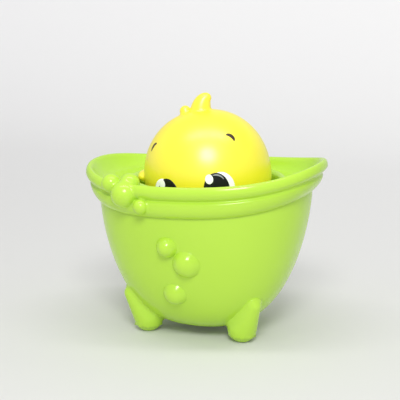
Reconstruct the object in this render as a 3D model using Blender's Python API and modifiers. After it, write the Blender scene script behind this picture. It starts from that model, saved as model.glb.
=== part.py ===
"""A yellow toy duck sitting in a lime green footed bathtub.

Metres, +Z up. X runs along the tub, the duck looks along -Y, and the origin is on the ground
under the middle of the tub. The tub is two mouldings held by three screws from below: a bowl
with feet, and a top that carries the rim, the deck and the round well the duck sits in.
"""
import math

import bmesh
import bpy
import numpy as np
from mathutils import Matrix, Vector

# Fits between pieces
CLEARANCE = 0.0003
WALL = 0.0020

# Duck: a ball with a slightly taller crown
DUCK_RADIUS = 0.0400
DUCK_CROWN = 1.0375 * DUCK_RADIUS
DUCK_POWER = 2.12

# Round well for the duck, with a raised collar, and the deck between it and the inner wall
WELL_GAP = 0.0050
WELL_RADIUS = DUCK_RADIUS + WELL_GAP
WELL_SHIFT = 0.0015
WELL_STRAIGHT = 0.0150
WELL_SHOULDER = (0.75, 0.45)
COLLAR_WIDTH = 0.0058
COLLAR_HEIGHT = 0.0030
SEAT_RADIUS = 0.675 * DUCK_RADIUS
SEAT_FLAT = 0.0020
DECK_MARGIN = 0.0019
INNER_TUCK_END = 0.0132
INNER_TUCK_SIDE = 0.0078

# Rim outline in plan, and the height of its crest
RIM_LENGTH = 0.153
RIM_WIDTH = 2 * (WELL_RADIUS + COLLAR_WIDTH + DECK_MARGIN + INNER_TUCK_SIDE)
PLAN_POWER = 2.24
RIM_HEIGHT = 0.1022
RIM_TILT = 0.0028
RIM_SAG = 0.0020
RIM_FLICK = 0.0052

# Rim section, measured down from the crest and in from the outline
LIP_THICKNESS = 0.0046
LIP_ROUND = 0.0018
LIP_DROP = 0.0082
LIP_TUCK_END = 0.0029
LIP_TUCK_SIDE = 0.0012
GROOVE_DEPTH = 0.0010
GROOVE_WIDTH = 0.0016
BAND_DROP = 0.0195
BAND_TUCK_END = 0.0085
BAND_TUCK_SIDE = 0.0049
BAND_BULGE = 0.0008
BAND_EDGE = 0.0005
BAND_CURVE_END = 1.3
BAND_CURVE_SIDE = 2.2

# Points of the lip's section, inside to outside: share of its thickness in, share of its round down
LIP_SECTION = [(1.0, 1.0), (0.76, 0.2), (0.46, 0.0), (0.15, 0.35), (0.0, 1.2)]
LIP_MIDDLE_TUCK = 0.22
LIP_MIDDLE_DROP = 0.60

# Heights of the deck, of the pocket that takes the bowl's wall, and of the duck's centre
DECK_DROP = 0.0066
POCKET_DROP = 0.0041
DUCK_SET = 0.0036
DECK_HEIGHT = RIM_HEIGHT - DECK_DROP
POCKET_HEIGHT = DECK_HEIGHT - POCKET_DROP
POCKET_LIFT = 0.30
BAND_FOOT = RIM_HEIGHT - BAND_DROP
DUCK_HEIGHT = DECK_HEIGHT + DUCK_SET
INNER_WALL_CURVE = 1.8
LAP = 0.0015
TONGUE = 0.0017
TONGUE_REACH = 0.0026

# Belly of the bowl
BELLY_HEIGHT = 0.0036
BELLY_ROUND = 1.56
BELLY_FULL = 3.10
BELLY_FLOOR = 0.004

# Feet: a ball on the ground drawn out to a tip on the flank
FOOT_RADIUS = 0.0092
FOOT_FLAT = 0.0009
FOOT_STANDOFF = 0.0057
FOOT_TIP_HEIGHT = 0.0250
FOOT_TIP_RADIUS = 0.0034
FOOT_TIP_STANDOFF = 0.0012
FRONT_FOOT_ANGLE = math.radians(32.5)
FOOT_ANGLES = {
    "foot_right": -FRONT_FOOT_ANGLE,
    "foot_left": FRONT_FOOT_ANGLE - math.pi,
    "foot_back": math.pi / 2,
}

# Soap bubbles on the front wall: place along X, height, radius, how far they stand out
WALL_BUBBLES = {
    "bubble_upper": (-0.0057, 0.775 * BAND_FOOT, 0.0064, 0.0056),
    "bubble_middle": (0.0058, 0.650 * BAND_FOOT, 0.0082, 0.0052),
    "bubble_lower": (-0.0040, 0.395 * BAND_FOOT, 0.0073, 0.0044),
}
BUBBLE_SINK = 0.0012

# Soap bubbles round the rim: place along X, drop below the crest, inset from the outline, radius
RIM_BUBBLES = {
    "bubble_rim_end": (-0.0425, 0.0016, 0.0024, 0.0058),
    "bubble_rim_inner": (-0.0305, 0.0004, 0.0075, 0.0064),
    "bubble_rim_large": (-0.0322, 0.0070, 0.0020, 0.0077),
    "bubble_rim_small": (-0.0198, 0.0127, 0.0013, 0.0047),
}

# Screws up through the floor of the bowl into posts under the well
SCREW_COUNT = 3
SCREW_CIRCLE = 0.0160
SCREW_FIRST_ANGLE = math.radians(30)
SCREW_RADIUS = 0.0014
SCREW_LENGTH = 0.0120
SCREW_HEAD_RADIUS = 0.0027
SCREW_HEAD_HEIGHT = 0.0019
SCREW_POINT = 0.0020
SCREW_RIM = 0.0011
SCREW_FACE_RADIUS = 0.0019
SHELF_HEIGHT = 0.0130
SHELF_THICKNESS = 0.0030
SCREW_WELL_WALL = 0.0015
POST_WALL = 0.0019
PILOT_SPARE = 0.0015

# How the duck leans in its seat, and its wall
DUCK_LEAN = math.radians(9.5)
DUCK_FACE = math.radians(4.0)
DUCK_WALL = 0.0020
VENT_RADIUS = 0.0016

# Tufts of down on the crown: sideways place, height above the crown and radius along each one
TUFTS = {
    "tuft_large": [(0.0014, -0.0040, 0.0070), (0.0022, 0.0010, 0.0062), (0.0042, 0.0052, 0.0047),
                   (0.0066, 0.0075, 0.0032)],
    "tuft_small": [(-0.0070, -0.0035, 0.0040), (-0.0083, 0.0004, 0.0035)],
}

# Stub wings: bearing from the face, height above the ball's centre, reach beyond its skin
WINGS = {
    "wing_raised": (math.radians(-80), 0.0052, 0.0042),
    "wing_tucked": (math.radians(84), -0.0150, 0.0025),
}
WING_LENGTH = 0.0085
WING_HEIGHT = 0.0040
WING_DEPTH = 0.0090

# Beak
BEAK_DROP = 0.0125
BEAK_REACH = DUCK_RADIUS + 0.0040
BEAK_HALF_WIDTH = 0.0078
BEAK_HALF_HEIGHT = 0.0036
BEAK_DEPTH = 0.0085
BEAK_PEG_RADIUS = 0.0024
BEAK_PEG_LENGTH = 0.0060

# Printed eyes and brows, laid out on the ball: bearing, height angle, half width, half height
INK_LIFT = 0.0003
INK_THICKNESS = 0.0004
INK_SPAN = (INK_LIFT, INK_LIFT + INK_THICKNESS)
CUT_SPAN = (INK_LIFT / 2, 2 * INK_LIFT + INK_THICKNESS)
STROKE_END = 0.35
EYE_BEARING = math.radians(22.7)
EYE_RISE = math.radians(-6.5)
PUPIL_SHIFT = 0.0003
PUPIL_HALF_WIDTH = 0.0079
PUPIL_HALF_HEIGHT = 0.0103
WHITE_HALF_WIDTH = 0.0084
WHITE_HALF_HEIGHT = 0.0103
WHITE_SHIFT = 0.0032
GLINT_HALF_WIDTH = 0.0024
GLINT_HALF_HEIGHT = 0.0029
GLINT_SIDE = -0.0034
GLINT_RISE = 0.0070
SHINE_RADIUS = 0.0055
SHINE_ARCS = {1: (math.radians(104), math.radians(22)), -1: (math.radians(5), math.radians(-68))}
SHINE_HALF_WIDTH = 0.00045
SHINE_SIDE = 0.0002
SHINE_RISE = 0.0035
BROW_BEARING = math.radians(44.5)
BROW_RISE = math.radians(35.0)
BROW_RADIUS = 0.0034
BROW_START = math.radians(98)
BROW_END = math.radians(-28)
BROW_HALF_WIDTH = 0.00080

# Facets
PLAN_STEPS = 48
BELLY_STEPS = 11
SEAT_STEPS = 5
BALL_STEPS = 36
SCREW_STEPS = 12

COLLECTION_NAME = "toy_duck_in_bathtub"
CUTTER_COLLECTION_NAME = "cutters"

LIME = (0.50, 0.86, 0.09, 1.0)
YELLOW = (0.98, 0.90, 0.05, 1.0)
ORANGE = (0.95, 0.30, 0.03, 1.0)
WHITE = (0.90, 0.90, 0.88, 1.0)
BLACK = (0.012, 0.012, 0.014, 1.0)
GREY = (0.45, 0.45, 0.46, 1.0)
BROWN = (0.030, 0.012, 0.008, 1.0)
STEEL = (0.60, 0.60, 0.62, 1.0)


# Scene, materials and modifiers

def clear_scene():
    for obj in list(bpy.data.objects):
        bpy.data.objects.remove(obj, do_unlink=True)


def make_collection(name):
    collection = bpy.data.collections.new(name)
    bpy.context.scene.collection.children.link(collection)
    return collection


def make_material(name, colour, roughness, metallic=0.0):
    material = bpy.data.materials.new(name)
    material.use_nodes = True
    shader = material.node_tree.nodes["Principled BSDF"]
    shader.inputs["Base Color"].default_value = colour
    shader.inputs["Roughness"].default_value = roughness
    shader.inputs["Metallic"].default_value = metallic
    material.diffuse_color = colour
    return material


def add_object(name, bm, collection, material=None, parent=None):
    """Turn a bmesh into a smooth-shaded object with its faces pointing out."""
    bmesh.ops.recalc_face_normals(bm, faces=bm.faces)
    mesh = bpy.data.meshes.new(name)
    bm.to_mesh(mesh)
    bm.free()
    obj = bpy.data.objects.new(name, mesh)
    collection.objects.link(obj)
    mesh.shade_smooth()
    mesh.set_sharp_from_angle(angle=math.radians(35))
    obj.parent = parent
    if material is None:
        obj.hide_render = True
        obj.display_type = "WIRE"
    else:
        mesh.materials.append(material)
    return obj


def combine(target, tool, operation):
    modifier = target.modifiers.new(operation.lower() + "_" + tool.name, "BOOLEAN")
    modifier.operation = operation
    modifier.solver = "EXACT"
    modifier.object = tool


# Shapes shared by several pieces

def close_end(bm, loop, point):
    """Close a ring with one flat face, or with a fan to a point."""
    if point is None:
        bm.faces.new(loop)
        return
    tip = bm.verts.new(point)
    for a, b in zip(loop, loop[1:] + loop[:1]):
        bm.faces.new((a, b, tip))


def loft(rings, start=None, end=None):
    """Skin a row of equal rings and close both ends, flat or to a point."""
    bm = bmesh.new()
    loops = [[bm.verts.new(point) for point in ring] for ring in rings]
    count = len(loops[0])
    for lower, upper in zip(loops, loops[1:]):
        for i in range(count):
            j = (i + 1) % count
            bm.faces.new((lower[i], lower[j], upper[j], upper[i]))
    close_end(bm, loops[0], start)
    close_end(bm, loops[-1], end)
    return bm


def half_section(profile, x=0.0, y=0.0):
    """The line of a turned shape: (radius, height) points down its outer side, axis to axis."""
    bm = bmesh.new()
    points = [bm.verts.new((x + radius, y, height)) for radius, height in profile]
    for a, b in zip(points, points[1:]):
        bm.edges.new((a, b))
    return bm


def turn_about_axis(obj, steps):
    modifier = obj.modifiers.new("turn", "SCREW")
    modifier.axis = "Z"
    modifier.angle = 2 * math.pi
    modifier.steps = steps
    modifier.render_steps = steps
    modifier.use_merge_vertices = True
    modifier.merge_threshold = 0.00001


def ball(radius, centre=(0, 0, 0), scale=(1, 1, 1), steps=16):
    bm = bmesh.new()
    place = Matrix.Translation(centre) @ Matrix.Diagonal((*scale, 1))
    bmesh.ops.create_uvsphere(bm, u_segments=steps, v_segments=steps // 2, radius=radius, matrix=place)
    return bm


def upright_cylinder(radius, low, high, x=0.0, y=0.0, steps=12):
    bm = bmesh.new()
    bmesh.ops.create_cone(
        bm, cap_ends=True, segments=steps, radius1=radius, radius2=radius, depth=high - low,
        matrix=Matrix.Translation((x, y, (low + high) / 2)))
    return bm


def tapered_capsules(points, steps=16, rows=4):
    """A round-ended limb through (centre, radius) points, as a loft of circles along it."""
    centres = [Vector(centre) for centre, radius in points]
    radii = [radius for centre, radius in points]
    tangents = [(b - a).normalized() for a, b in zip(centres, centres[1:])]
    tangents = [tangents[0]] + [(a + b).normalized() for a, b in zip(tangents, tangents[1:])] + [tangents[-1]]
    stations = []
    for k in range(1, rows):
        angle = math.pi / 2 * (1 - k / rows)
        stations.append((centres[0] - tangents[0] * radii[0] * math.sin(angle),
                         radii[0] * math.cos(angle), tangents[0]))
    stations += list(zip(centres, radii, tangents))
    for k in range(1, rows):
        angle = math.pi / 2 * k / rows
        stations.append((centres[-1] + tangents[-1] * radii[-1] * math.sin(angle),
                         radii[-1] * math.cos(angle), tangents[-1]))
    rings = []
    for centre, radius, tangent in stations:
        turn = Vector((0, 0, 1)).rotation_difference(tangent)
        rings.append([centre + turn @ Vector((radius * math.cos(a), radius * math.sin(a), 0))
                      for a in np.linspace(0, 2 * math.pi, steps, endpoint=False)])
    return loft(rings)


# Outline of the tub

def plan_direction():
    """Superellipse points of unit half length and half width, round the tub."""
    t = np.linspace(0, 2 * math.pi, PLAN_STEPS, endpoint=False)
    share = 2 / PLAN_POWER
    x = np.sign(np.cos(t)) * np.abs(np.cos(t)) ** share
    y = np.sign(np.sin(t)) * np.abs(np.sin(t)) ** share
    return x, y


def rim_lift(x):
    """How far the crest at this place along X stands above its height mid-length."""
    u = np.asarray(x) / (RIM_LENGTH / 2)
    return RIM_TILT * u + RIM_SAG * u ** 2 + RIM_FLICK * u ** 4


def plan_ring(tuck_end, tuck_side, height, lift_share):
    """A ring inside the rim's outline, raised by a share of the crest's lift."""
    x, y = plan_direction()
    half_length = RIM_LENGTH / 2 - tuck_end
    half_width = RIM_WIDTH / 2 - tuck_side
    z = height + lift_share * rim_lift(x * RIM_LENGTH / 2)
    return np.stack([x * half_length, y * half_width, z + 0 * x], -1)


def well_ring(radius, height):
    """A level circle about the well's axis, with as many points as the outline has."""
    x, y = plan_direction()
    angle = np.arctan2(y * RIM_WIDTH, x * RIM_LENGTH)
    return np.stack([WELL_SHIFT + radius * np.cos(angle), radius * np.sin(angle), height + 0 * x], -1)


def rim_ring(tuck_end, tuck_side, drop):
    return plan_ring(tuck_end, tuck_side, RIM_HEIGHT - drop, 1.0)


def belly_share(z):
    """Share of the bowl's full length and width that its wall has at this height."""
    s = min(max((z - BELLY_HEIGHT) / (BAND_FOOT - BELLY_HEIGHT), 0.0), 1.0)
    return (1 - (1 - s) ** BELLY_ROUND) ** (1 / BELLY_FULL)


def bowl_half_sizes():
    step = BAND_EDGE + CLEARANCE
    return RIM_LENGTH / 2 - BAND_TUCK_END - step, RIM_WIDTH / 2 - BAND_TUCK_SIDE - step


def belly_point(angle, z):
    """A point on the bowl's outside at a bearing round the tub and a height."""
    half_length, half_width = bowl_half_sizes()
    share = belly_share(z)
    a = half_length * share
    b = half_width * share
    c = abs(math.cos(angle) / a) ** PLAN_POWER + abs(math.sin(angle) / b) ** PLAN_POWER
    reach = c ** (-1 / PLAN_POWER)
    return Vector((reach * math.cos(angle), reach * math.sin(angle), z))


def front_of_plan(x, half_length, half_width):
    """The front (-Y) side of an outline of these half sizes, at a place along X."""
    return -half_width * (1 - abs(x / half_length) ** PLAN_POWER) ** (1 / PLAN_POWER)


# Tub, lower moulding

def belly_rings(inset):
    """Rings of the bowl's wall from the belly up to the edge that laps inside the band."""
    half_length, half_width = bowl_half_sizes()
    x, y = plan_direction()
    rings = []
    for s in np.linspace(BELLY_FLOOR, 1.0, BELLY_STEPS) ** 2:
        share = (1 - (1 - s) ** BELLY_ROUND) ** (1 / BELLY_FULL)
        sink = inset * (1 - s) ** 2
        lift = s * rim_lift(x * RIM_LENGTH / 2)
        z = BELLY_HEIGHT + sink + s * (BAND_FOOT - BELLY_HEIGHT - sink) + lift
        rings.append(np.stack([x * (half_length * share - inset), y * (half_width * share - inset), z], -1))
    edge = rings[-1].copy()
    edge[:, 2] += LAP
    rings.append(edge)
    return rings


def closing_rings(edge, inset, rise, centre_height):
    """Close a bowl's mouth: past its edge, then to a small level ring on the axis."""
    x, y = plan_direction()
    beyond = edge.copy()
    beyond[:, :2] *= 1 - inset / (RIM_LENGTH / 2)
    beyond[:, 2] += rise
    middle = np.stack([x * WALL, y * WALL, centre_height + 0 * x], -1)
    return [beyond, middle]


def make_foot(name, angle, collection):
    """A teardrop foot: ball on the ground, tip up on the flank, flat under the ball."""
    ball_height = FOOT_RADIUS - FOOT_FLAT
    base = belly_point(angle, FOOT_RADIUS)
    base *= 1 + FOOT_STANDOFF / base.xy.length
    base.z = ball_height
    tip = belly_point(angle, FOOT_TIP_HEIGHT)
    reach = 1 + FOOT_TIP_STANDOFF / tip.xy.length
    tip = Vector((tip.x * reach, tip.y * reach, tip.z))
    bm = tapered_capsules([(base, FOOT_RADIUS), (tip, FOOT_TIP_RADIUS)])
    cut = bmesh.ops.bisect_plane(bm, geom=bm.verts[:] + bm.edges[:] + bm.faces[:],
                                 plane_co=(0, 0, 0), plane_no=(0, 0, -1), clear_outer=True)
    rim = [item for item in cut["geom_cut"] if isinstance(item, bmesh.types.BMEdge)]
    bmesh.ops.edgeloop_fill(bm, edges=rim)
    return add_object(name, bm, collection)


def front_wall(x, z):
    half_length, half_width = bowl_half_sizes()
    share = belly_share(z)
    return front_of_plan(x, half_length * share, half_width * share)


def make_wall_bubble(name, x, z, radius, rise, collection):
    """A flattened ball sunk a little in the front wall and square to it."""
    lean = math.atan2(front_wall(x, z - radius) - front_wall(x, z + radius), 2 * radius)
    bm = ball(1.0, scale=(radius, rise + BUBBLE_SINK, radius))
    place = (Matrix.Translation((x, front_wall(x, z), z)) @ Matrix.Rotation(lean, 4, "X")
             @ Matrix.Translation((0, BUBBLE_SINK, 0)))
    bmesh.ops.transform(bm, matrix=place, verts=bm.verts)
    return add_object(name, bm, collection)


def screw_places():
    for k in range(SCREW_COUNT):
        angle = SCREW_FIRST_ANGLE + 2 * math.pi * k / SCREW_COUNT
        yield k + 1, WELL_SHIFT + SCREW_CIRCLE * math.cos(angle), SCREW_CIRCLE * math.sin(angle)


def make_tub_bowl(collection, cutters, material):
    outside = belly_rings(0.0)
    outside += closing_rings(outside[-1], 2 * WALL, 0.0, RIM_HEIGHT / 2)
    bowl = add_object("tub_bowl", loft(outside), collection, material)
    for name, angle in FOOT_ANGLES.items():
        combine(bowl, make_foot(name, angle, cutters), "UNION")
    for name, bubble in WALL_BUBBLES.items():
        combine(bowl, make_wall_bubble(name, *bubble, cutters), "UNION")
    inside = belly_rings(WALL)[:-1]
    inside += closing_rings(inside[-1], 0.0, LAP + WALL, RIM_HEIGHT)
    cavity = add_object("bowl_inside", loft(inside), cutters)
    combine(bowl, cavity, "DIFFERENCE")
    recess = SCREW_HEAD_RADIUS + CLEARANCE
    for number, x, y in screw_places():
        tower = upright_cylinder(recess + SCREW_WELL_WALL, -WALL, SHELF_HEIGHT + SHELF_THICKNESS, x, y)
        combine(cavity, add_object(f"screw_tower_{number}", tower, cutters), "DIFFERENCE")
        hole = upright_cylinder(recess, -WALL, SHELF_HEIGHT, x, y)
        combine(bowl, add_object(f"screw_recess_{number}", hole, cutters), "DIFFERENCE")
        hole = upright_cylinder(SCREW_RADIUS + CLEARANCE, SHELF_HEIGHT - WALL,
                                SHELF_HEIGHT + SHELF_THICKNESS + WALL, x, y)
        combine(bowl, add_object(f"screw_hole_{number}", hole, cutters), "DIFFERENCE")
    return bowl


# Tub, upper moulding

def seat_height(radius, gap):
    """Height, at a radius from the well's axis, of a cup this far outside the duck's ball."""
    return DUCK_HEIGHT - math.sqrt((DUCK_RADIUS + gap) ** 2 - radius ** 2)


def well_rings(wall):
    """The well from its flat centre up to the straight part, on the duck's side moved by wall."""
    gap = CLEARANCE + wall
    rings = []
    for radius in np.linspace(SEAT_FLAT, SEAT_RADIUS + wall / 2, SEAT_STEPS):
        rings.append(well_ring(radius, seat_height(radius, gap)))
    top = DECK_HEIGHT - WELL_STRAIGHT
    shoulder = seat_height(SEAT_RADIUS, gap)
    out, up = WELL_SHOULDER
    rings.append(well_ring(SEAT_RADIUS + out * (WELL_RADIUS - SEAT_RADIUS) + wall / 2,
                           shoulder + up * (top - shoulder)))
    rings.append(well_ring(WELL_RADIUS + wall, top))
    return rings


def collar_rings():
    """A half-round bead on the deck round the well's mouth."""
    middle = WELL_RADIUS + COLLAR_WIDTH / 2
    rings = []
    for angle in np.radians([180, 135, 90, 45, 0]):
        radius = middle + COLLAR_WIDTH / 2 * math.cos(angle)
        rings.append(well_ring(radius, DECK_HEIGHT + COLLAR_HEIGHT * math.sin(angle)))
    return rings


def inner_wall_rings():
    """From the deck up to the lip: a wide fillet, steeper towards the top."""
    rings = []
    for s in (0.0, 0.35, 0.7):
        tuck_end = INNER_TUCK_END + s * (LIP_THICKNESS - INNER_TUCK_END)
        tuck_side = INNER_TUCK_SIDE + s * (LIP_THICKNESS - INNER_TUCK_SIDE)
        climb = s ** INNER_WALL_CURVE
        height = DECK_HEIGHT + climb * (RIM_HEIGHT - LIP_ROUND - DECK_HEIGHT)
        rings.append(plan_ring(tuck_end, tuck_side, height, climb))
    return rings


def lip_rings():
    """Over the crest: inside, top and outside of the rolled lip, down to its tucked edge."""
    rings = [rim_ring(inwards * LIP_THICKNESS, inwards * LIP_THICKNESS, down * LIP_ROUND)
             for inwards, down in LIP_SECTION]
    rings.append(rim_ring(LIP_MIDDLE_TUCK * LIP_TUCK_END, LIP_MIDDLE_TUCK * LIP_TUCK_SIDE,
                          LIP_MIDDLE_DROP * LIP_DROP))
    rings.append(rim_ring(LIP_TUCK_END, LIP_TUCK_SIDE, LIP_DROP))
    return rings


def band_rings():
    """The groove under the lip, then the band that swells and curves in to its lower edge."""
    shoulder = LIP_DROP + GROOVE_WIDTH
    rings = [
        rim_ring(LIP_TUCK_END + GROOVE_DEPTH, LIP_TUCK_SIDE + GROOVE_DEPTH, LIP_DROP + GROOVE_WIDTH / 2),
    ]
    for s in (0.0, 0.3, 0.6, 0.85, 1.0):
        bulge = 4 * BAND_BULGE * s * (1 - s)
        tuck_end = LIP_TUCK_END + s ** BAND_CURVE_END * (BAND_TUCK_END - LIP_TUCK_END) - bulge
        tuck_side = LIP_TUCK_SIDE + s ** BAND_CURVE_SIDE * (BAND_TUCK_SIDE - LIP_TUCK_SIDE) - bulge
        rings.append(rim_ring(tuck_end, tuck_side, shoulder + s * (BAND_DROP - shoulder)))
    return rings


def skirt_rings():
    """Under the band: its edge, the pocket for the bowl's wall, the tongue inside that wall."""
    outer = BAND_EDGE
    inner = BAND_EDGE + WALL + 2 * CLEARANCE
    low = BAND_DROP + TONGUE_REACH
    return [
        rim_ring(BAND_TUCK_END + outer, BAND_TUCK_SIDE + outer, BAND_DROP),
        plan_ring(BAND_TUCK_END + outer, BAND_TUCK_SIDE + outer, POCKET_HEIGHT, POCKET_LIFT),
        plan_ring(BAND_TUCK_END + inner, BAND_TUCK_SIDE + inner, POCKET_HEIGHT, POCKET_LIFT),
        rim_ring(BAND_TUCK_END + inner + CLEARANCE, BAND_TUCK_SIDE + inner + CLEARANCE, low),
        rim_ring(BAND_TUCK_END + inner + TONGUE, BAND_TUCK_SIDE + inner + TONGUE, low),
        plan_ring(BAND_TUCK_END + inner + TONGUE, BAND_TUCK_SIDE + inner + TONGUE, DECK_HEIGHT - WALL, 0.0),
    ]


def rim_bubble_centre(x, drop, inset):
    y = front_of_plan(x, RIM_LENGTH / 2 - inset, RIM_WIDTH / 2 - inset)
    return x, y, RIM_HEIGHT + float(rim_lift(x)) - drop


def make_tub_top(collection, cutters, material):
    under = list(reversed(well_rings(WALL)))
    rings = well_rings(0.0) + collar_rings() + inner_wall_rings() + lip_rings() + band_rings()
    rings += skirt_rings() + [well_ring(WELL_RADIUS + WALL, DECK_HEIGHT - WALL)] + under
    top = add_object("tub_top", loft(rings), collection, material)
    for name, (x, drop, inset, radius) in RIM_BUBBLES.items():
        centre = rim_bubble_centre(x, drop, inset)
        combine(top, add_object(name, ball(radius, centre), cutters), "UNION")
    foot = SHELF_HEIGHT + SHELF_THICKNESS + CLEARANCE
    pilot = SCREW_RADIUS + CLEARANCE
    head = seat_height(SCREW_CIRCLE, CLEARANCE + WALL / 2)
    for number, x, y in screw_places():
        post = upright_cylinder(pilot + POST_WALL, foot, head, x, y)
        combine(top, add_object(f"post_{number}", post, cutters), "UNION")
        depth = SHELF_HEIGHT + SCREW_LENGTH + PILOT_SPARE
        hole = upright_cylinder(pilot, foot - WALL, depth, x, y)
        combine(top, add_object(f"pilot_{number}", hole, cutters), "DIFFERENCE")
    return top


def make_screws(collection, material):
    """Self-tapping screws: pan head in the recess, shank through the shelf into the post."""
    profile = [
        (0, SCREW_LENGTH),
        (SCREW_RADIUS, SCREW_LENGTH - SCREW_POINT),
        (SCREW_RADIUS, 0),
        (SCREW_HEAD_RADIUS, 0),
        (SCREW_HEAD_RADIUS, -SCREW_RIM),
        (SCREW_FACE_RADIUS, -SCREW_HEAD_HEIGHT),
        (0, -SCREW_HEAD_HEIGHT),
    ]
    for number, x, y in screw_places():
        screw = add_object(f"screw_{number}", half_section(profile), collection, material)
        screw.location = (x, y, SHELF_HEIGHT - CLEARANCE)
        turn_about_axis(screw, SCREW_STEPS)


# Duck

def ball_reach(rise):
    """Distance of the duck's skin from its centre at an angle above its equator."""
    if rise <= 0:
        return DUCK_RADIUS
    flat = (math.cos(rise) / DUCK_RADIUS) ** DUCK_POWER
    tall = (math.sin(rise) / DUCK_CROWN) ** DUCK_POWER
    return (flat + tall) ** (-1 / DUCK_POWER)


def on_ball(bearing, rise, lift):
    """A point a little off the duck's skin; bearing 0 is the face, positive to its left hand."""
    reach = ball_reach(rise) + lift
    return Vector((reach * math.cos(rise) * math.sin(bearing),
                   -reach * math.cos(rise) * math.cos(bearing), reach * math.sin(rise)))


def duck_outside():
    """Half section of the ball, from its crown down to its base."""
    rises = np.linspace(math.pi / 2, -math.pi / 2, BALL_STEPS // 2 + 1)[1:-1]
    side = [(ball_reach(rise) * math.cos(rise), ball_reach(rise) * math.sin(rise)) for rise in rises]
    return [(0, DUCK_CROWN)] + side + [(0, -DUCK_RADIUS)]


def duck_hollow():
    """Half section of the hollow inside the ball, ending in the vent through its base."""
    low = -math.acos(VENT_RADIUS / (DUCK_RADIUS - DUCK_WALL))
    side = []
    for rise in np.linspace(math.pi / 2, low, BALL_STEPS // 3)[1:]:
        reach = ball_reach(rise) - DUCK_WALL
        side.append((reach * math.cos(rise), reach * math.sin(rise)))
    below = -DUCK_RADIUS - DUCK_WALL
    return [(0, DUCK_CROWN - DUCK_WALL)] + side + [(VENT_RADIUS, below), (0, below)]


def make_duck_body(collection, cutters, material, parent):
    body = add_object("duck_body", half_section(duck_outside()), collection, material, parent)
    turn_about_axis(body, BALL_STEPS)
    for name, path in TUFTS.items():
        points = [((x, 0, DUCK_CROWN + z), radius) for x, z, radius in path]
        combine(body, add_object(name, tapered_capsules(points, steps=12, rows=3), cutters, parent=parent),
                "UNION")
    for name, (bearing, height, reach) in WINGS.items():
        half_depth = WING_DEPTH / 2
        out = DUCK_RADIUS + reach - half_depth
        bm = ball(1.0, scale=(WING_LENGTH, half_depth, WING_HEIGHT), steps=16)
        place = Matrix.Rotation(bearing, 4, "Z") @ Matrix.Translation((0, -out, height))
        bmesh.ops.transform(bm, matrix=place, verts=bm.verts)
        combine(body, add_object(name, bm, cutters, parent=parent), "UNION")
    hollow = add_object("duck_inside", half_section(duck_hollow()), cutters, parent=parent)
    turn_about_axis(hollow, BALL_STEPS)
    combine(body, hollow, "DIFFERENCE")
    peg_hole = beak_peg(BEAK_PEG_RADIUS + CLEARANCE, CLEARANCE)
    combine(body, add_object("beak_hole", peg_hole, cutters, parent=parent), "DIFFERENCE")
    return body


def beak_peg(radius, spare):
    """The peg that carries the beak through the duck's wall."""
    outer = math.sqrt(DUCK_RADIUS ** 2 - BEAK_DROP ** 2) + CLEARANCE + WALL
    bm = upright_cylinder(radius, 0, BEAK_PEG_LENGTH + spare, steps=12)
    place = Matrix.Translation((0, -outer, -BEAK_DROP)) @ Matrix.Rotation(-math.pi / 2, 4, "X")
    bmesh.ops.transform(bm, matrix=place, verts=bm.verts)
    return bm


def make_beak(collection, cutters, material, parent):
    bm = ball(1.0, scale=(BEAK_HALF_WIDTH, BEAK_DEPTH, BEAK_HALF_HEIGHT), steps=20)
    bmesh.ops.translate(bm, verts=bm.verts, vec=(0, -(BEAK_REACH - BEAK_DEPTH), -BEAK_DROP))
    beak = add_object("beak", bm, collection, material, parent)
    skin = ball(DUCK_RADIUS + CLEARANCE, steps=2 * BALL_STEPS)
    combine(beak, add_object("beak_seat", skin, cutters, parent=parent), "DIFFERENCE")
    peg = beak_peg(BEAK_PEG_RADIUS, 0.0)
    combine(beak, add_object("beak_peg", peg, cutters, parent=parent), "UNION")
    return beak


# Print on the duck

def lay_on_ball(points, bearing, rise, low, high):
    """Skin a grid of flat (across, up) points at two heights over the duck and close its sides."""
    layers = []
    for lift in (low, high):
        layer = []
        for row in points:
            layer.append([on_ball(bearing + u / (DUCK_RADIUS * math.cos(rise)), rise + v / DUCK_RADIUS, lift)
                          for u, v in row])
        layers.append(layer)
    return layers


def disc_field(bearing, rise, half_width, half_height, grow, low, high, steps=20, rows=2):
    """An oval field of ink as a thin closed shell on the duck, grown all round."""
    half_width += grow
    half_height += grow
    angles = np.linspace(0, 2 * math.pi, steps, endpoint=False)
    grid = [[(half_width * k / rows * math.cos(a), half_height * k / rows * math.sin(a)) for a in angles]
            for k in range(1, rows + 1)]
    lower, upper = lay_on_ball(grid, bearing, rise, low, high)
    return loft(lower + upper[::-1], on_ball(bearing, rise, low), on_ball(bearing, rise, high))


def arc_field(bearing, rise, radius, start, end, half_width, low, high, steps=8):
    """A thin curved stroke of ink, pointed at both ends, as a closed shell on the duck."""
    rings = []
    for k in range(steps + 1):
        angle = start + (end - start) * k / steps
        taper = STROKE_END + (1 - STROKE_END) * math.sin(math.pi * k / steps)
        row = [(reach * math.cos(angle), reach * math.sin(angle))
               for reach in (radius - half_width * taper, radius + half_width * taper)]
        lower, upper = lay_on_ball([row], bearing, rise, low, high)
        rings.append([lower[0][0], lower[0][1], upper[0][1], upper[0][0]])
    return loft(rings)


def eye_ovals(side):
    """Bearing, height angle, half width and half height of an eye's white, pupil and glint."""
    radius = DUCK_RADIUS * math.cos(EYE_RISE)
    bearing = side * EYE_BEARING
    return {
        "eye_white": (bearing + side * WHITE_SHIFT / radius, EYE_RISE, WHITE_HALF_WIDTH, WHITE_HALF_HEIGHT),
        "pupil": (bearing + PUPIL_SHIFT / radius, EYE_RISE, PUPIL_HALF_WIDTH, PUPIL_HALF_HEIGHT),
        "glint": (bearing + GLINT_SIDE / radius, EYE_RISE + GLINT_RISE / DUCK_RADIUS,
                  GLINT_HALF_WIDTH, GLINT_HALF_HEIGHT),
    }


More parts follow.
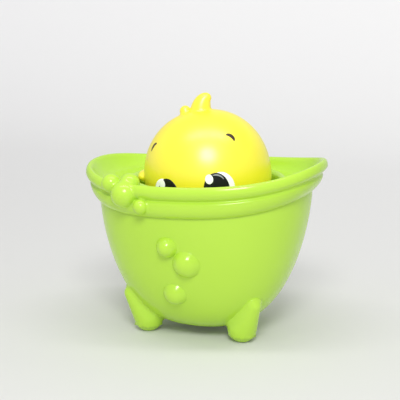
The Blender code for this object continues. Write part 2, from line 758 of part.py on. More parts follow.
def make_eye(side, label, collection, cutters, inks, parent):
    """White, pupil, glint and shine of one eye; side is +1 towards +X and -1 towards -X."""
    ovals = eye_ovals(side)
    fields = {}
    for name, ink in (("eye_white", "white"), ("pupil", "black"), ("glint", "white")):
        bm = disc_field(*ovals[name], 0.0, *INK_SPAN)
        fields[name] = add_object(f"{name}_{label}", bm, collection, inks[ink], parent)
    cuts = {}
    for name in ("pupil", "glint"):
        bm = disc_field(*ovals[name], CLEARANCE, *CUT_SPAN)
        cuts[name] = add_object(f"{name}_cut_{label}", bm, cutters, parent=parent)
    combine(fields["eye_white"], cuts["pupil"], "DIFFERENCE")
    combine(fields["pupil"], cuts["glint"], "DIFFERENCE")
    if side * GLINT_SIDE > 0:
        combine(fields["eye_white"], cuts["glint"], "DIFFERENCE")
    bearing = side * EYE_BEARING + SHINE_SIDE / (DUCK_RADIUS * math.cos(EYE_RISE))
    stroke = (bearing, EYE_RISE + SHINE_RISE / DUCK_RADIUS, SHINE_RADIUS, *SHINE_ARCS[side])
    shine_cut = add_object(f"shine_cut_{label}", arc_field(*stroke, SHINE_HALF_WIDTH + CLEARANCE, *CUT_SPAN),
                           cutters, parent=parent)
    combine(fields["pupil"], shine_cut, "DIFFERENCE")
    shine = add_object(f"shine_{label}", arc_field(*stroke, SHINE_HALF_WIDTH, *INK_SPAN),
                       collection, inks["grey"], parent)
    combine(shine, cuts["glint"], "DIFFERENCE")


def make_brow(side, label, collection, ink, parent):
    start, end = (BROW_START, BROW_END) if side > 0 else (math.pi - BROW_START, math.pi - BROW_END)
    bm = arc_field(side * BROW_BEARING, BROW_RISE, BROW_RADIUS, start, end, BROW_HALF_WIDTH, *INK_SPAN)
    add_object(f"brow_{label}", bm, collection, ink, parent)


def make_duck(collection, cutters, materials):
    lean = bpy.data.objects.new("duck_lean", None)
    collection.objects.link(lean)
    lean.location = (WELL_SHIFT, 0, DUCK_HEIGHT)
    lean.rotation_mode = "ZYX"
    lean.rotation_euler = (0, -DUCK_LEAN, DUCK_FACE)
    make_duck_body(collection, cutters, materials["yellow"], lean)
    make_beak(collection, cutters, materials["orange"], lean)
    for side, label in ((1, "left"), (-1, "right")):
        make_eye(side, label, collection, cutters, materials, lean)
        make_brow(side, label, collection, materials["brown"], lean)


def main():
    clear_scene()
    collection = make_collection(COLLECTION_NAME)
    cutters = make_collection(CUTTER_COLLECTION_NAME)
    lime = make_material("lime_abs", LIME, 0.22)
    steel = make_material("zinc_steel", STEEL, 0.35, 1.0)
    inks = {
        "yellow": make_material("yellow_vinyl", YELLOW, 0.42),
        "orange": make_material("orange_vinyl", ORANGE, 0.40),
        "white": make_material("white_ink", WHITE, 0.35),
        "black": make_material("black_ink", BLACK, 0.25),
        "grey": make_material("grey_ink", GREY, 0.35),
        "brown": make_material("brown_ink", BROWN, 0.35),
    }
    make_tub_bowl(collection, cutters, lime)
    make_tub_top(collection, cutters, lime)
    make_screws(collection, steel)
    make_duck(collection, cutters, inks)


main()
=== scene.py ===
"""Looks of the toy duck in its lime green footed bathtub.

Metres, +Z up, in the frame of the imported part: X runs along the tub towards its higher end and
the duck looks along -Y. Every new piece is a grid of points worked out as whole arrays.
"""
import math

import bmesh
import bpy
import numpy as np
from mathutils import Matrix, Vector


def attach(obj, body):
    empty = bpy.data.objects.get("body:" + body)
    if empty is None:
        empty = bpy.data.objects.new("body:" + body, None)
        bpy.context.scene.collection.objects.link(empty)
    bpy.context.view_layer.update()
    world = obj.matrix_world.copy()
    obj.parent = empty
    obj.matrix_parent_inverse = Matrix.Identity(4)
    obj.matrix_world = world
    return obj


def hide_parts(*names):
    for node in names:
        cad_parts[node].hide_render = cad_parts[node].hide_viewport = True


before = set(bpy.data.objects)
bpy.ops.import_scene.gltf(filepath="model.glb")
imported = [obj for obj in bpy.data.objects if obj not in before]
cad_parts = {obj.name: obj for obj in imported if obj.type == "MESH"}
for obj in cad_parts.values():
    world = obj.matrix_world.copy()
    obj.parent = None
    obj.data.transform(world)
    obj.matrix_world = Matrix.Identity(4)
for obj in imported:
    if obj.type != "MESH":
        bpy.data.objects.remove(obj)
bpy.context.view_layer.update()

MM = 0.001
CLEARANCE = 0.3 * MM
WALL = 2.0 * MM

# Rim outline in plan, and the height of its crest
RIM_LENGTH = 153 * MM
RIM_WIDTH = 121 * MM
PLAN_POWER = 2.24
RIM_HEIGHT = 102.2 * MM
RIM_TILT = 2.8 * MM
RIM_SAG = 2.0 * MM
RIM_FLICK = 5.2 * MM

# Rim section, measured down from the crest and in from the outline. Tucks, curls and the groove
# have one size at the tub's ends and one at its sides. A CURVE is the power of the share of the
# way down that a tuck or curl follows.
LIP_THICKNESS = 4.6 * MM
LIP_ROUND = 1.8 * MM
LIP_DROP = 8.2 * MM
LIP_TUCK_END = 2.9 * MM
LIP_TUCK_SIDE = 1.2 * MM
LIP_TUCK_CURVE = 1.5
LIP_ROLL = 4.2 * MM
LIP_CURL_END = 0.2 * MM
LIP_CURL_SIDE = 1.0 * MM
LIP_CURL_CURVE = 3
GROOVE_DEPTH_END = 0.4 * MM
GROOVE_DEPTH_SIDE = 1.5 * MM
GROOVE_WIDTH = 1.9 * MM
BAND_DROP = 19.5 * MM
BAND_TUCK_END = 8.5 * MM
BAND_TUCK_SIDE = 4.9 * MM
BAND_CURVE_END = 1.6
BAND_CURVE_SIDE = 4
BAND_BULGE = 0.2 * MM
BAND_EDGE = 0.5 * MM

# Rounding where the section turns; SOFT is longer than any stretch, for the softest rounding
SOFT = 9.0
COLLAR_FOOT_ROUND = 0.8 * MM
GROOVE_ROUND = 0.7 * MM
BAND_SHOULDER_ROUND = 0.9 * MM
BAND_FOOT_ROUND = 1.8 * MM

# Where the section's rings stand: shares of each stretch, or degrees round its curve
COLLAR_DEGREES = (180, 150, 120, 90, 60, 30, 0)
INNER_SHARES = (0.0, 0.35, 0.7)
LIP_TOP_SHARES = ((1.0, 1.0), (0.82, 0.35), (0.64, 0.06))
LIP_ROLL_DEGREES = (90, 68, 46, 23, 0)
LIP_ROLL_DEPTH = 0.46
LIP_FLANK_SHARES = (0.25, 0.5, 0.75, 0.92, 1.0)
GROOVE_BOTTOM = 0.4
BAND_SHARES = (0.0, 0.15, 0.35, 0.6, 0.8, 0.92, 1.0)

# Deck, inner wall and the well for the duck. The knee lies between the seat and the straight
# part, at these shares of the way out past the middle and of the way up.
DECK_HEIGHT = 95.6 * MM
INNER_TUCK_END = 13.2 * MM
INNER_TUCK_SIDE = 7.8 * MM
INNER_CURVE = 1.8
WELL_RADIUS = 45.0 * MM
WELL_SHIFT = 1.5 * MM
WELL_STRAIGHT = 15.0 * MM
WELL_KNEE_OUT = 0.25
WELL_KNEE_UP = 0.45
COLLAR_WIDTH = 5.8 * MM
COLLAR_HEIGHT = 3.0 * MM
SEAT_RADIUS = 27.0 * MM
POCKET_HEIGHT = 91.5 * MM
POCKET_LIFT = 0.30
LAP = 1.5 * MM

# Belly of the bowl
BELLY_HEIGHT = 3.6 * MM
BELLY_ROUND = 1.56
BELLY_FULL = 3.10

# Feet
FOOT_RADIUS = 9.2 * MM
FOOT_FLAT = 0.9 * MM
FOOT_STANDOFF = 5.7 * MM
FOOT_TIP_HEIGHT = 25.0 * MM
FOOT_TIP_RADIUS = 4.4 * MM
FOOT_TIP_STANDOFF = 0.5 * MM
FRONT_FOOT_ANGLE = math.radians(32.5)
FOOT_ANGLES = (-FRONT_FOOT_ANGLE, FRONT_FOOT_ANGLE - math.pi, math.pi / 2)
FOOT_BLEND = 3.0 * MM

# Soap bubbles on the front wall: place along X, height, radius, how far they stand out. SINK is
# how far each one's oval section goes below the wall, HEM how far its edge runs out there.
WALL_BUBBLES = (
    (-5.7 * MM, 64.1 * MM, 6.4 * MM, 5.6 * MM),
    (5.8 * MM, 53.8 * MM, 8.2 * MM, 5.2 * MM),
    (-4.0 * MM, 32.7 * MM, 7.3 * MM, 5.0 * MM),
)
BUBBLE_SINK = 2.5 * MM
BUBBLE_FILLET = 2.4 * MM
BUBBLE_HEM = 0.3 * MM
BUBBLE_HEM_DEPTH = 0.02 * MM
BUBBLE_BASE_DEPTH = 0.8 * MM

# Soap bubbles round the rim: place along X, drop below the crest, inset from the outline, radius
RIM_BUBBLES = (
    (-42.5 * MM, 1.6 * MM, 2.4 * MM, 5.8 * MM),
    (-30.5 * MM, 0.9 * MM, 7.2 * MM, 6.2 * MM),
    (-31.8 * MM, 6.6 * MM, 2.2 * MM, 8.3 * MM),
    (-19.8 * MM, 12.7 * MM, 1.3 * MM, 4.7 * MM),
)
BUBBLE_BLEND = 1.5 * MM

# Screws up through the floor of the bowl into posts under the well. FACE and RIM are shares of
# the head's radius and height, ROOT and POINT_RADIUS of the screw's radius, SLOPE of the pitch.
SCREW_COUNT = 3
SCREW_CIRCLE = 16.0 * MM
SCREW_FIRST_ANGLE = math.radians(30)
SCREW_RADIUS = 1.4 * MM
SCREW_LENGTH = 12.0 * MM
SCREW_HEAD_RADIUS = 2.7 * MM
SCREW_HEAD_HEIGHT = 1.9 * MM
SCREW_FACE_SHARE = 0.75
SCREW_RIM_SHARE = 0.45
THREAD_TURNS = 14
THREAD_ROOT = 0.72
THREAD_SLOPE = 0.45
SCREW_POINT_LENGTH = 2.2 * MM
SCREW_POINT_RADIUS = 0.2
SCREW_TIP = 0.2 * MM
CROSS_HALF_WIDTH = 0.42 * MM
CROSS_REACH = 1.55 * MM
CROSS_DEPTH = 1.0 * MM
CROSS_SIDE = 0.12 * MM
CROSS_END = 0.2 * MM
SHELF_HEIGHT = 13.0 * MM
SHELF_THICKNESS = 3.0 * MM
POST_WALL = 1.9 * MM

# Duck: a ball with a slightly taller crown, leaning in its seat
DUCK_RADIUS = 40.0 * MM
DUCK_CROWN = 41.5 * MM
DUCK_POWER = 2.12
DUCK_HEIGHT = 99.2 * MM
DUCK_LEAN = math.radians(9.5)
DUCK_FACE = math.radians(4.0)

# Tufts of down on the crown: sideways place, height and radius along each one
TUFT_LARGE = ((1.4 * MM, 37.5 * MM, 7.0 * MM), (2.2 * MM, 42.5 * MM, 6.2 * MM),
              (4.2 * MM, 46.5 * MM, 4.7 * MM), (6.6 * MM, 48.3 * MM, 3.2 * MM))
TUFT_SMALL = ((-7.0 * MM, 38.0 * MM, 4.0 * MM), (-8.3 * MM, 41.9 * MM, 3.5 * MM))
TUFT_BLEND = 1.6 * MM

# Stub wings: bearing from the face, height above the ball's centre, reach from its axis
WING_RAISED = (math.radians(-80), 5.2 * MM, 44.2 * MM)
WING_TUCKED = (math.radians(84), -15.0 * MM, 42.5 * MM)
WING_HALF_SIZES = np.array([8.5, 4.5, 4.0]) * MM
WING_BLEND = 1.2 * MM

# Beak; the mouth line's width is a share of the beak's half height
BEAK_DROP = 12.5 * MM
BEAK_REACH = 44.0 * MM
BEAK_HALF_SIZES = np.array([7.8, 8.5, 3.6]) * MM
MOUTH_DEPTH = 0.35 * MM
MOUTH_WIDTH = 0.07

# Printed eyes and brows, laid out on the ball: half sizes, and places across and up. The taper
# is the power of the sine that narrows a stroke towards its ends.
EYE_BEARING = math.radians(22.7)
EYE_RISE = math.radians(-6.5)
PUPIL_SIZE = (7.9 * MM, 10.3 * MM)
PUPIL_SHIFT = 0.3 * MM
WHITE_SIZE = (8.4 * MM, 10.3 * MM)
WHITE_SHIFT = 3.2 * MM
GLINT_SIZE = (2.4 * MM, 2.9 * MM)
GLINT_PLACE = (-3.4 * MM, 7.0 * MM)
SHINE_RADIUS = 5.5 * MM
SHINE_ARCS = {1: (math.radians(104), math.radians(22)), -1: (math.radians(5), math.radians(-68))}
SHINE_HALF_WIDTH = 0.45 * MM
SHINE_PLACE = (0.2 * MM, 3.5 * MM)
BROW_BEARING = math.radians(44.5)
BROW_RISE = math.radians(34.2)
BROW_RADIUS = 3.4 * MM
BROW_ARC = (math.radians(98), math.radians(-28))
BROW_HALF_WIDTH = 1.25 * MM
STROKE_TAPER = 0.6
INK_LAYER = 0.03 * MM
INK_ROOT = 0.15 * MM

# Steps of the grids; the stretch of rim with the bubbles has finer ones
ROUND = 320
CLUSTER_ROUND = 160
CLUSTER_FROM = math.radians(216)
CLUSTER_TO = math.radians(264)
WELL_RINGS = 6
BOWL_RINGS = 130
BOWL_TRIALS = 4000
DUCK_GRID = (150, 241)
BILL_GRID = (81, 96)
NEWTON_STEPS = 8
LIMB_STEEPEST = 0.95
MERGE_DISTANCE = 0.002 * MM
SHARP_ANGLE = math.radians(40)

# The photograph's camera
CAMERA_AZIMUTH = math.radians(20.5)
CAMERA_ELEVATION = math.radians(12.0)
CAMERA_DISTANCE = 700 * MM
CAMERA_TARGET_HEIGHT = 83.03 * MM
CAMERA_SIDESTEP = -3.70 * MM
CAMERA_FOCAL_PIXELS = 1104
PHOTO_PIXELS = 400
SENSOR_MM = 36

# The studio: the paper sweep along Y and up, and where along Y its glow starts and is full
SWEEP_FRONT = -2.0
SWEEP_BACK = 0.6
SWEEP_CURL = 0.5
SWEEP_TOP = 2.5
SWEEP_HALF_WIDTH = 2.5
GLOW_START = -0.1
GLOW_END = 1.1
GLOW_MOST = 0.39
LAMP_TARGET_HEIGHT = 90 * MM

# Moulded skins: how much finer the gloss varies than the shade, the least and most share of the
# roughness, and the range that most of the noise falls in
GLOSS_FINENESS = 6
GLOSS_LEAST = 0.9
GLOSS_MOST = 1.12
NOISE_LOW = 0.3
NOISE_HIGH = 0.7


# Colours and materials

def hex_colour(text):
    """A colour written as sRGB hex, in linear light with full alpha."""
    srgb = np.array([int(text[i:i + 2], 16) for i in (1, 3, 5)]) / 255
    linear = np.where(srgb <= 0.04045, srgb / 12.92, ((srgb + 0.055) / 1.055) ** 2.4)
    return (*linear, 1.0)


def add_node(tree, kind, inputs=None, **settings):
    """Add a node, set its own settings, then give each named input a value or a link."""
    node = tree.nodes.new(kind)
    for name, value in settings.items():
        setattr(node, name, value)
    for name, value in (inputs or {}).items():
        if isinstance(value, bpy.types.NodeSocket):
            tree.links.new(value, node.inputs[name])
        else:
            node.inputs[name].default_value = value
    return node


def moulded_material(name, deep, pale, roughness, patch, grain, grain_depth, **constants):
    """A moulded surface: slow drift between two shades, uneven gloss and a fine skin texture.

    patch is the size of the shade's drift and grain the size of the skin's dimples, in metres.
    """
    material = bpy.data.materials.new(name)
    material.use_nodes = True
    tree = material.node_tree
    shader = tree.nodes["Principled BSDF"]
    place = add_node(tree, "ShaderNodeTexCoord").outputs["Object"]
    drift = add_node(tree, "ShaderNodeTexNoise", {"Vector": place, "Scale": 1 / patch, "Detail": 2.0})
    shade = add_node(tree, "ShaderNodeMix", {"Factor": drift.outputs["Fac"]}, data_type="RGBA")
    shade.inputs["A"].default_value = hex_colour(deep)
    shade.inputs["B"].default_value = hex_colour(pale)
    tree.links.new(shade.outputs["Result"], shader.inputs["Base Color"])
    uneven = add_node(tree, "ShaderNodeTexNoise", {
        "Vector": place, "Scale": GLOSS_FINENESS / patch, "Detail": 3.0})
    gloss = add_node(tree, "ShaderNodeMapRange", {
        "Value": uneven.outputs["Fac"], "From Min": NOISE_LOW, "From Max": NOISE_HIGH,
        "To Min": roughness * GLOSS_LEAST, "To Max": roughness * GLOSS_MOST})
    tree.links.new(gloss.outputs["Result"], shader.inputs["Roughness"])
    dimples = add_node(tree, "ShaderNodeTexNoise", {"Vector": place, "Scale": 1 / grain, "Detail": 2.0})
    bump = add_node(tree, "ShaderNodeBump", {
        "Height": dimples.outputs["Fac"], "Strength": 0.5, "Distance": grain_depth})
    tree.links.new(bump.outputs["Normal"], shader.inputs["Normal"])
    for socket, value in constants.items():
        shader.inputs[socket.replace("_", " ")].default_value = value
    return material


# Grids

def skin(name, grids, material, slot, replaced):
    """Sew grids of points (rows, columns, 3) into one mesh of quads and close its seams and poles.

    Neighbours in a row and a column make a face; points that coincide are merged.
    """
    points, quads, start = [], [], 0
    for grid in grids:
        rows, columns = grid.shape[:2]
        index = start + np.arange(rows * columns).reshape(rows, columns)
        corners = [index[:-1, :-1], index[:-1, 1:], index[1:, 1:], index[1:, :-1]]
        quads.append(np.stack(corners, -1).reshape(-1, 4))
        points.append(grid.reshape(-1, 3))
        start += rows * columns
    points, quads = np.concatenate(points), np.concatenate(quads)
    mesh = bpy.data.meshes.new(name)
    mesh.vertices.add(len(points))
    mesh.vertices.foreach_set("co", points.astype(np.float32).ravel())
    mesh.loops.add(quads.size)
    mesh.loops.foreach_set("vertex_index", quads.astype(np.int32).ravel())
    mesh.polygons.add(len(quads))
    mesh.polygons.foreach_set("loop_start", np.arange(0, quads.size, 4, dtype=np.int32))
    mesh.update(calc_edges=True)
    work = bmesh.new()
    work.from_mesh(mesh)
    bmesh.ops.remove_doubles(work, verts=work.verts, dist=MERGE_DISTANCE)
    bmesh.ops.recalc_face_normals(work, faces=work.faces)
    work.to_mesh(mesh)
    work.free()
    mesh.shade_smooth()
    mesh.materials.append(material)
    piece = bpy.data.objects.new(name, mesh)
    bpy.context.scene.collection.objects.link(piece)
    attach(piece, "root")
    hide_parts(*replaced)
    return piece


def grid_normals(grid):
    """Unit normals of a closed band of points: columns' step crossed with rows' step."""
    down = np.gradient(grid, axis=0)
    ring = grid[:, :-1]
    along = np.roll(ring, -1, axis=1) - np.roll(ring, 1, axis=1)
    along = np.concatenate([along, along[:, :1]], axis=1)
    normal = np.cross(along, down)
    size = np.linalg.norm(normal, axis=-1, keepdims=True)
    return normal / np.maximum(size, 1e-15)


def rounded_rows(rings, cuts, steps=5):
    """Run a surface through a row of rings and round it at each: a parabola starts and ends
    the cut's length before and after the ring, or at half the way to the next one."""
    rows = [rings[0]]
    for before, ring, after, cut in zip(rings, rings[1:], rings[2:], cuts[1:-1]):
        back, ahead = before - ring, after - ring
        back_size = np.maximum(np.linalg.norm(back, axis=-1, keepdims=True), 1e-12)
        ahead_size = np.maximum(np.linalg.norm(ahead, axis=-1, keepdims=True), 1e-12)
        enter = ring + back * np.minimum(cut / back_size, 0.5)
        leave = ring + ahead * np.minimum(cut / ahead_size, 0.5)
        for t in np.linspace(0, 1, steps):
            rows.append((1 - t) ** 2 * enter + 2 * t * (1 - t) * ring + t ** 2 * leave)
    rows.append(rings[-1])
    return np.stack(rows)


def soft_least(a, b, blend):
    """The lesser of two distances, with a smooth change between them over the blend's length."""
    share = np.maximum(blend - np.abs(a - b), 0) / blend
    return np.minimum(a, b) - share ** 2 * blend / 4


def swell(points, normals, gaps, blend):
    """Raise points along their normals into fillets where other shapes meet them.

    gaps are functions that give the distance to each other shape; the surface moves to where
    the soft least of its own height and those distances is zero, in Newton steps.
    """
    height = np.zeros(points.shape[:-1])
    for _ in range(NEWTON_STEPS):
        moved = points + normals * height[..., None]
        least = height
        for gap in gaps:
            least = soft_least(least, gap(moved), blend)
        height = np.clip(height - least, 0, blend / 2)
    return points + normals * height[..., None]


def ball_grid(centre, half_sizes, rows=48, columns=72):
    """An ellipsoid: latitude down the rows, longitude along them. Returns points and normals."""
    rise = np.linspace(math.pi / 2, -math.pi / 2, rows)[:, None]
    turn = np.linspace(0, 2 * math.pi, columns)[None, :]
    unit = np.stack([np.cos(rise) * np.cos(turn), np.cos(rise) * np.sin(turn), np.sin(rise) + 0 * turn], -1)
    half_sizes = np.broadcast_to(half_sizes, 3)
    normal = unit / half_sizes
    normal /= np.linalg.norm(normal, axis=-1, keepdims=True)
    return np.asarray(centre) + unit * half_sizes, normal


def ball_gap(centre, radius):
    """Distance from a ball, as a function of points."""
    return lambda points: np.linalg.norm(points - np.asarray(centre), axis=-1) - radius


def limb_grid(stations, side, body_rows=40, cap_rows=14, columns=72):
    """A round-ended limb, the envelope of a ball that travels through the stations.

    Centre and radius are polynomials through the (centre, radius) stations. Each ring stands off
    its ball's centre by the radius times the sine of the flank's slope, and has the radius times
    the cosine; half circles run on to the poles. side is a unit vector across the limb's plane.
    """
    path = np.array([[*centre, radius] for centre, radius in stations], float)
    knots = np.linspace(0, 1, len(path))
    fit = np.polyfit(knots, path, len(path) - 1)
    slope = np.array([np.polyder(fit[:, i]) for i in range(4)]).T
    s = np.concatenate([np.zeros(cap_rows), np.linspace(0, 1, body_rows), np.ones(cap_rows)])
    place = np.stack([np.polyval(fit[:, i], s) for i in range(4)], -1)
    change = np.stack([np.polyval(slope[:, i], s) for i in range(4)], -1)
    speed = np.linalg.norm(change[:, :3], axis=-1)
    tangent = change[:, :3] / speed[:, None]
    angle = np.arcsin(np.clip(-change[:, 3] / speed, -LIMB_STEEPEST, LIMB_STEEPEST))
    angle[:cap_rows] = np.linspace(-math.pi / 2, angle[cap_rows], cap_rows, endpoint=False)
    angle[-cap_rows:] = np.linspace(math.pi / 2, angle[-cap_rows - 1], cap_rows, endpoint=False)[::-1]
    side = np.broadcast_to(np.asarray(side, float), tangent.shape)
    out = np.cross(side, tangent)
    turn = np.linspace(0, 2 * math.pi, columns)
    radial = out[:, None] * np.cos(turn)[:, None] + side[:, None] * np.sin(turn)[:, None]
    normal = radial * np.cos(angle)[:, None, None] + (tangent * np.sin(angle)[:, None])[:, None]
    return place[:, None, :3] + normal * place[:, None, 3:4], normal


def limb_gap(stations):
    """Distance from a limb: least over its stretches of the distance to a tapering ball."""
    def gap(points):
        least = None
        for (start, low), (end, high) in zip(stations, stations[1:]):
            start, way = np.asarray(start), np.asarray(end) - np.asarray(start)
            share = np.clip(((points - start) @ way) / (way @ way), 0, 1)
            near = start + share[..., None] * way
            distance = np.linalg.norm(points - near, axis=-1) - (low + share * (high - low))
            least = distance if least is None else np.minimum(least, distance)
        return least
    return gap


def turned_grid(profile, x=0.0, y=0.0, columns=48):
    """(radius, height) points turned about an upright axis."""
    profile = np.asarray(profile, float)
    turn = np.linspace(0, 2 * math.pi, columns)
    radius, height = profile[:, :1], profile[:, 1:]
    return np.stack([x + radius * np.cos(turn), y + radius * np.sin(turn), height + 0 * turn], -1)


# Outline of the tub

def plan_direction(turn):
    """Superellipse of unit half length and half width, round the tub."""
    share = 2 / PLAN_POWER
    x = np.sign(np.cos(turn)) * np.abs(np.cos(turn)) ** share
    y = np.sign(np.sin(turn)) * np.abs(np.sin(turn)) ** share
    return x, y


def rim_lift(x):
    """How far the crest stands above its height mid-length: tilt, sag and a flick at the ends."""
    u = x / (RIM_LENGTH / 2)
    return RIM_TILT * u + RIM_SAG * u ** 2 + RIM_FLICK * u ** 4


def plan_ring(turn, tuck_end, tuck_side, height, lift_share):
    """A ring inside the rim's outline, raised by a share of the crest's lift."""
    x, y = plan_direction(turn)
    z = height + lift_share * rim_lift(x * RIM_LENGTH / 2)
    return np.stack([x * (RIM_LENGTH / 2 - tuck_end), y * (RIM_WIDTH / 2 - tuck_side), z], -1)


def rim_ring(turn, tuck_end, tuck_side, drop):
    """A ring inside the rim's outline, this far below the crest all round."""
    return plan_ring(turn, tuck_end, tuck_side, RIM_HEIGHT - drop, 1.0)


def well_ring(turn, radius, height):
    """A level circle about the well's axis, its points at the outline's bearings."""
    x, y = plan_direction(turn)
    bearing = np.arctan2(y * RIM_WIDTH, x * RIM_LENGTH)
    return np.stack([WELL_SHIFT + radius * np.cos(bearing), radius * np.sin(bearing), height + 0 * x], -1)


def front_of_plan(x, half_length, half_width):
    """The front (-Y) side of an outline of these half sizes, at a place along X."""
    return -half_width * (1 - np.abs(x / half_length) ** PLAN_POWER) ** (1 / PLAN_POWER)


def bowl_half_sizes():
    """The bowl's half length and half width at its top, a fit inside the band's edge."""
    step = BAND_EDGE + CLEARANCE
    return RIM_LENGTH / 2 - BAND_TUCK_END - step, RIM_WIDTH / 2 - BAND_TUCK_SIDE - step


def belly_curve(s):
    """Share of the bowl's full length and width at this share of its height: round-bottomed."""
    return (1 - (1 - s) ** BELLY_ROUND) ** (1 / BELLY_FULL)


def belly_share(z):
    """Share of the bowl's full length and width at a height."""
    return belly_curve(np.clip((z - BELLY_HEIGHT) / (RIM_HEIGHT - BAND_DROP - BELLY_HEIGHT), 1e-9, 1))


# Tub, lower moulding

def belly_grid(turn, rows):
    """The bowl's outside from its lowest point up to the band, rows evenly spaced along the wall.

    Trial heights, crowded towards the bottom, give the length travelled along the wall at each;
    the rows' heights are read off at even lengths.
    """
    half_length, half_width = bowl_half_sizes()
    top = RIM_HEIGHT - BAND_DROP
    trial = np.linspace(0, 1, BOWL_TRIALS) ** 3
    length = np.hypot(np.diff(belly_curve(trial) * half_length), np.diff(trial * top))
    travelled = np.concatenate([[0], np.cumsum(length)])
    s = np.interp(np.linspace(0, travelled[-1], rows), travelled, trial)[:, None]
    x, y = plan_direction(turn)
    reach = belly_curve(s) * np.array([half_length, half_width])[None, :]
    z = BELLY_HEIGHT + s * (top - BELLY_HEIGHT) + s * rim_lift(x * RIM_LENGTH / 2)
    return np.stack([x * reach[:, :1], y * reach[:, 1:], z], -1)


def belly_gap(points):
    """Distance from the bowl's outside: its outline's level function over that function's slope."""
    half_length, half_width = bowl_half_sizes()

    def level(p):
        share = belly_share(p[..., 2])
        x = np.abs(p[..., 0]) / (half_length * share)
        y = np.abs(p[..., 1]) / (half_width * share)
        return (x ** PLAN_POWER + y ** PLAN_POWER) ** (1 / PLAN_POWER) - 1

    here = level(points)
    step = 0.05 * MM
    slope = np.stack([(level(points + step * axis) - here) / step for axis in np.eye(3)], -1)
    return here / np.maximum(np.linalg.norm(slope, axis=-1), 1e-6)


def belly_point(angle, z):
    """A point on the bowl's outside at a bearing round the tub and a height."""
    half_length, half_width = bowl_half_sizes()
    share = float(belly_share(np.array(z)))
    c = abs(math.cos(angle) / (half_length * share)) ** PLAN_POWER
    c += abs(math.sin(angle) / (half_width * share)) ** PLAN_POWER
    reach = c ** (-1 / PLAN_POWER)
    return np.array([reach * math.cos(angle), reach * math.sin(angle), z])


def foot_stations(angle):
    """Centre and radius of the foot's ball on the ground and of its tip up on the flank."""
    base = belly_point(angle, FOOT_RADIUS)
    base *= 1 + FOOT_STANDOFF / np.hypot(base[0], base[1])
    base[2] = FOOT_RADIUS - FOOT_FLAT
    tip = belly_point(angle, FOOT_TIP_HEIGHT)
    tip[:2] *= 1 + FOOT_TIP_STANDOFF / np.hypot(tip[0], tip[1])
    return [(base, FOOT_RADIUS), (tip, FOOT_TIP_RADIUS)]


def wall_bubble_grid(x, z, radius, rise, rows=48, columns=72):
    """A bubble that stands on the front wall with a fillet round its foot.

    Its section is half an oval sunk a little below the wall; the height above the wall is the
    soft greater of the oval's height and nothing, which makes the fillet. The wall itself gives
    the point under each height, and the way out from it. The oval is as much wider than the
    bubble as makes it meet the wall at the bubble's radius. Its hem runs out just under the
    wall's surface, and the base is closed below it.
    """
    dome = np.linspace(0, math.pi / 2, rows)
    radius /= math.sqrt(1 - (BUBBLE_SINK / (rise + BUBBLE_SINK)) ** 2)
    reach = radius * np.sin(dome)
    oval = (rise + BUBBLE_SINK) * np.cos(dome) - BUBBLE_SINK
    share = np.maximum(BUBBLE_FILLET - np.abs(oval), 0) / BUBBLE_FILLET
    height = np.maximum(oval, 0) + share ** 2 * BUBBLE_FILLET / 4
    reach = np.concatenate([reach, [radius + BUBBLE_HEM, radius, 0.0]])
    height = np.concatenate([height, [-BUBBLE_HEM_DEPTH, -BUBBLE_BASE_DEPTH, -BUBBLE_BASE_DEPTH]])
    turn = np.linspace(0, 2 * math.pi, columns)
    half_length, half_width = bowl_half_sizes()

    def wall(across, up):
        share = belly_share(up)
        return np.stack([across, front_of_plan(across, half_length * share, half_width * share), up], -1)

    step = 0.1 * MM
    here = wall(np.array(x), np.array(z))
    across = wall(np.array(x + step), np.array(z)) - here
    upward = wall(np.array(x), np.array(z + step)) - here
    across, upward = across / np.linalg.norm(across), upward / np.linalg.norm(upward)
    flat = reach[:, None, None] * (np.cos(turn)[:, None] * across + np.sin(turn)[:, None] * upward)
    foot = wall(x + flat[..., 0], z + flat[..., 2])
    out = np.cross(across, upward)
    return foot + height[:, None, None] * out


def cut_away(piece, grids):
    """Subtract closed grids from a piece and keep the result as its mesh."""
    tool = skin("cutter", grids, piece.data.materials[0], "lime_plastic", ())
    modifier = piece.modifiers.new("cut", "BOOLEAN")
    modifier.operation, modifier.solver, modifier.object = "DIFFERENCE", "EXACT", tool
    modifier.use_self = False
    bpy.context.view_layer.update()
    graph = bpy.context.evaluated_depsgraph_get()
    result = bpy.data.meshes.new_from_object(piece.evaluated_get(graph), depsgraph=graph)
    piece.modifiers.clear()
    piece.data = result
    bpy.data.objects.remove(tool)
    piece.data.shade_smooth()
    piece.data.set_sharp_from_angle(angle=SHARP_ANGLE)


def screw_places():
    """Where the screws stand in plan, evenly spaced about the well's axis."""
    for k in range(SCREW_COUNT):
        angle = SCREW_FIRST_ANGLE + 2 * math.pi * k / SCREW_COUNT
        yield WELL_SHIFT + SCREW_CIRCLE * math.cos(angle), SCREW_CIRCLE * math.sin(angle)


